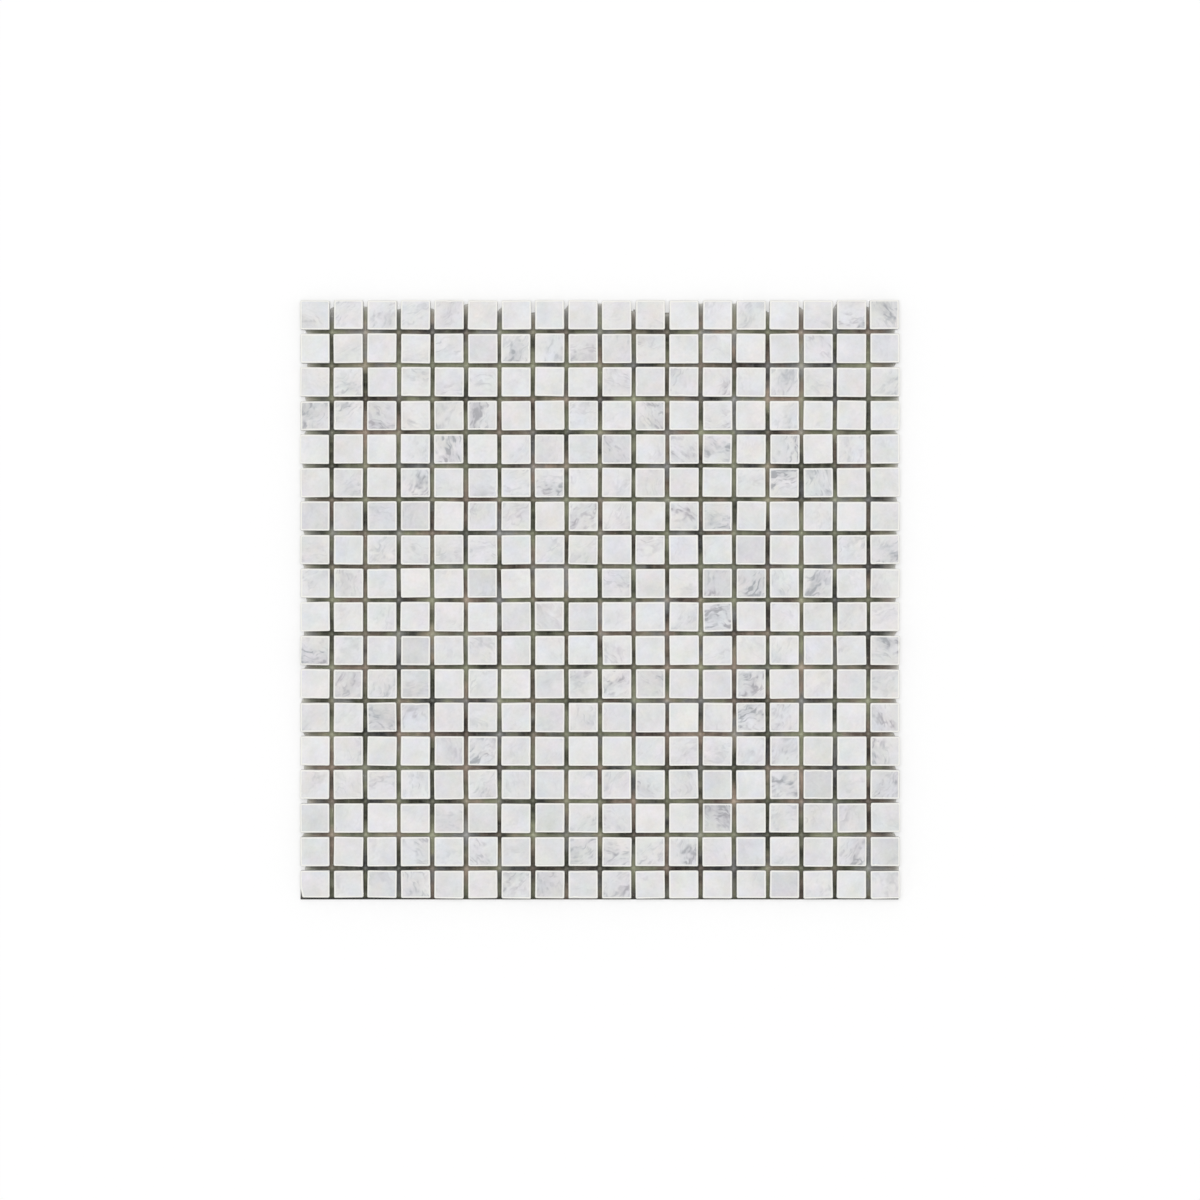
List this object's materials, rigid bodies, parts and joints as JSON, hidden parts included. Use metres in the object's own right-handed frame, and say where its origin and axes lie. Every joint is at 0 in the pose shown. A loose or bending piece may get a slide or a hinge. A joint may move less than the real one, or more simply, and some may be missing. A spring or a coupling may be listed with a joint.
{
  "type": "mosaic tile sheet",
  "caption": "Square sheet of small square stone chips in even rows, held a joint apart by a fibreglass net bonded to their backs.",
  "frame": {"origin": "middle of the sheet's back, on the surface that it lies on", "axes": "+Z out of the face, +X along the rows, +Y from the last row to the first"},
  "size_m": [0.304, 0.304, 0.01],
  "materials": {
    "marble": "honed",
    "adhesive": "matt",
    "net": "coated glass yarn"
  },
  "bodies": {
    "root": {"tile_row_01": "marble", "tile_row_02": "marble", "tile_row_03": "marble", "tile_row_04": "marble", "tile_row_05": "marble", "tile_row_06": "marble", "tile_row_07": "marble", "tile_row_08": "marble", "tile_row_09": "marble", "tile_row_10": "marble", "tile_row_11": "marble", "tile_row_12": "marble", "tile_row_13": "marble", "tile_row_14": "marble", "tile_row_15": "marble", "tile_row_16": "marble", "tile_row_17": "marble", "tile_row_18": "marble", "adhesive_coat": "adhesive", "net_panel_1_1": "net", "net_panel_1_2": "net", "net_panel_1_3": "net", "net_panel_1_4": "net", "net_panel_2_1": "net", "net_panel_2_2": "net", "net_panel_2_3": "net", "net_panel_2_4": "net", "net_panel_3_1": "net", "net_panel_3_2": "net", "net_panel_3_3": "net", "net_panel_3_4": "net", "net_panel_4_1": "net", "net_panel_4_2": "net", "net_panel_4_3": "net", "net_panel_4_4": "net"}
  },
  "joints": []
}
